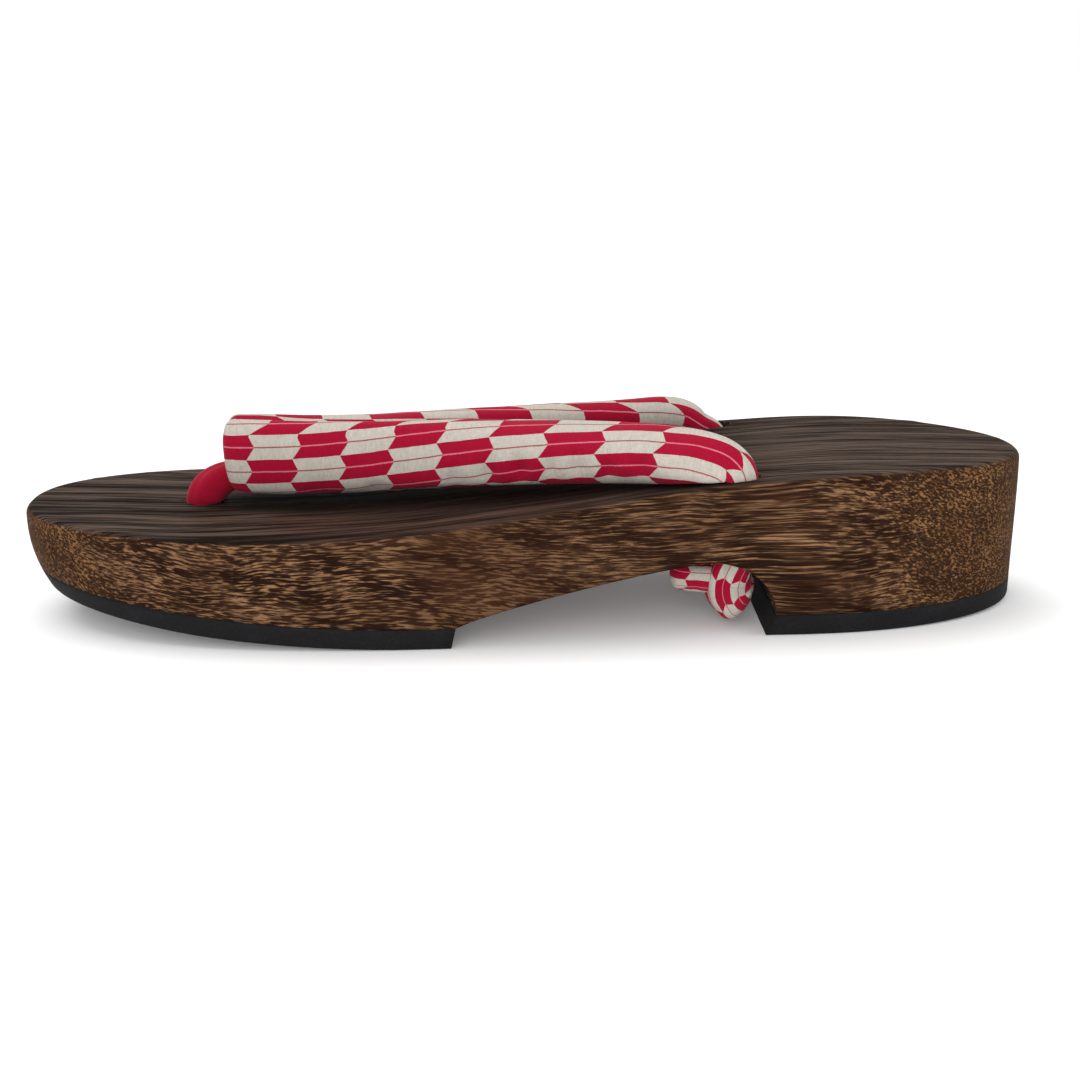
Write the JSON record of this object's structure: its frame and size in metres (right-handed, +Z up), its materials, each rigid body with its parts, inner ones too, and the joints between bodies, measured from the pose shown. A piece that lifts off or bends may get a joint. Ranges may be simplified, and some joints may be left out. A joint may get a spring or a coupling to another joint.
{
  "type": "geta sandal",
  "caption": "Low wooden geta sandal with an arched base, rubber soles under forefoot and heel, and a padded arrow-feather cotton thong strap.",
  "frame": {"origin": "on the floor under the middle of the sandal's length and width", "axes": "toe along -X, heel along +X, the near side of the picture along -Y, +Z up"},
  "size_m": [0.245, 0.09, 0.0488],
  "materials": {
    "charred_wood": "scorched and brushed, with tan latewood streaks and a satin sheen",
    "black_rubber": "matte",
    "arrow_cotton": "slub cotton with red and cream arrow-feather rows",
    "red_cotton": "plain matte cotton"
  },
  "bodies": {
    "root": {"wooden_base": "charred_wood", "forefoot_sole": "black_rubber", "heel_sole": "black_rubber", "strap": "arrow_cotton", "toe_thong": "red_cotton", "strap_knot_near": "arrow_cotton", "strap_knot_far": "arrow_cotton"}
  },
  "joints": []
}
